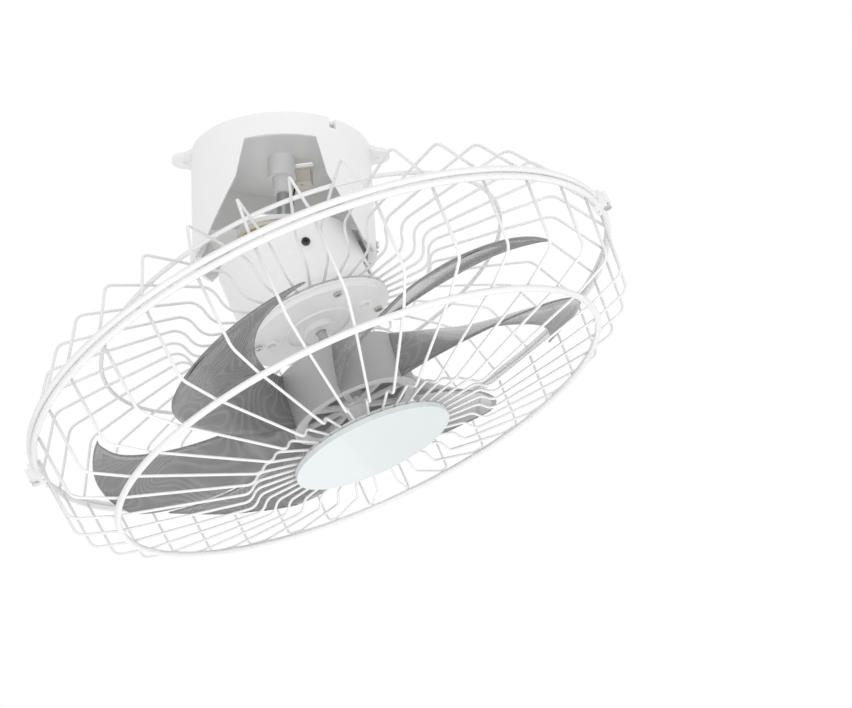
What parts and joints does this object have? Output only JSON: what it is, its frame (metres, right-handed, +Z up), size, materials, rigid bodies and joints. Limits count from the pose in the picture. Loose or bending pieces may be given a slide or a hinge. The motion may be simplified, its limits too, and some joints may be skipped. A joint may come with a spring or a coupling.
{
  "type": "orbital ceiling fan",
  "caption": "Caged ceiling fan whose tilted motor head turns slowly round a vertical spindle under a round canopy while its bladed propeller spins in a wire guard.",
  "frame": {"origin": "centre of the canopy's ceiling face", "axes": "+Z up, out of the ceiling face; the fan axis leans towards +X in the stored pose; +Y completes the right-handed set"},
  "size_m": [0.4815, 0.5099, 0.3317],
  "materials": {
    "white_moulding": "fine satin moulding",
    "grey_moulding": "satin moulding",
    "pale_moulding": "satin moulding",
    "smoked_blade": "smoked grey with a faint grain figure",
    "badge_face": "plain pale face",
    "wire_coat": "grey powder coat",
    "steel": "turned steel",
    "zinc_screw": "bright zinc",
    "dark_screw": "black oxide",
    "bronze": "oil-filled bronze",
    "brass": "bright brass",
    "lamination": "varnished laminations",
    "winding": "enamelled wire",
    "gear_nylon": "natural nylon",
    "board": "cream moulded plastic",
    "black_moulding": "black moulding",
    "carbon": "graphite",
    "lead_sleeve": "insulating sleeve"
  },
  "bodies": {
    "mount": {"ceiling_bracket": "white_moulding", "bridge": "pale_moulding", "bridge_screws": "zinc_screw", "spindle": "steel", "spindle_lock_nut": "pale_moulding", "spindle_washer": "steel", "spindle_nut": "steel", "fixed_gear": "gear_nylon", "contact_disc": "board", "contact_rings": "brass", "contact_leads": "lead_sleeve", "terminal_block": "gear_nylon"},
    "head": {"motor_housing": "white_moulding", "head_bush": "bronze", "brush_holder": "black_moulding", "brushes": "carbon", "side_screws": "dark_screw", "gear_frame": "steel", "gear_frame_screws": "zinc_screw", "capacitor": "black_moulding", "head_leads": "lead_sleeve", "rear_shield": "steel", "front_shield": "white_moulding", "shield_screws": "zinc_screw", "motor_bushes": "bronze", "stator_core": "lamination", "stator_windings": "winding", "guard_plate": "white_moulding", "rear_guard_wires": "wire_coat", "rear_guard_rings": "wire_coat", "front_guard_wires": "wire_coat", "front_guard_rings": "wire_coat", "badge_plate": "steel", "badge": "badge_face", "rim_clips": "pale_moulding", "clip_screws": "zinc_screw"},
    "rotor": {"motor_shaft": "steel", "rotor_core": "lamination", "drive_worm": "brass", "shaft_pin": "steel", "propeller_hub": "grey_moulding", "hub_spider": "white_moulding", "propeller_blades": "smoked_blade", "hub_nut": "white_moulding"},
    "cross": {"cross_shaft": "steel", "first_wheel": "gear_nylon", "second_worm": "brass"},
    "clutch": {"clutch_wheel": "gear_nylon"},
    "output": {"pinion_shaft": "steel", "orbit_pinion": "gear_nylon", "clutch_plate": "steel", "clutch_spring": "steel", "spring_seat": "steel"}
  },
  "joints": [
    {"name": "orbit", "type": "hinge", "parent": "mount", "child": "head", "pos_m": [0, 0, -0.092], "axis": [0, 0, 1], "continuous": true},
    {"name": "rotor_spin", "type": "hinge", "parent": "head", "child": "rotor", "pos_m": [0, 0, -0.092], "axis": [0.3486, 0, -0.9373], "continuous": true},
    {"name": "cross_spin", "type": "hinge", "parent": "head", "child": "cross", "pos_m": [-0.00336, 0, -0.12312], "axis": [0, 1, 0], "continuous": true},
    {"name": "clutch_spin", "type": "hinge", "parent": "head", "child": "clutch", "pos_m": [-0.01386, 0.03214, -0.12312], "axis": [0, 0, 1], "continuous": true},
    {"name": "pinion_spin", "type": "hinge", "parent": "head", "child": "output", "pos_m": [-0.01386, 0.03214, -0.1], "axis": [0, 0, 1], "continuous": true}
  ],
  "couplings": [
    {"joint": "cross_spin", "follows": "rotor_spin", "ratio": -0.033333},
    {"joint": "clutch_spin", "follows": "rotor_spin", "ratio": 0.0033333},
    {"joint": "pinion_spin", "follows": "orbit", "ratio": 2.5}
  ]
}
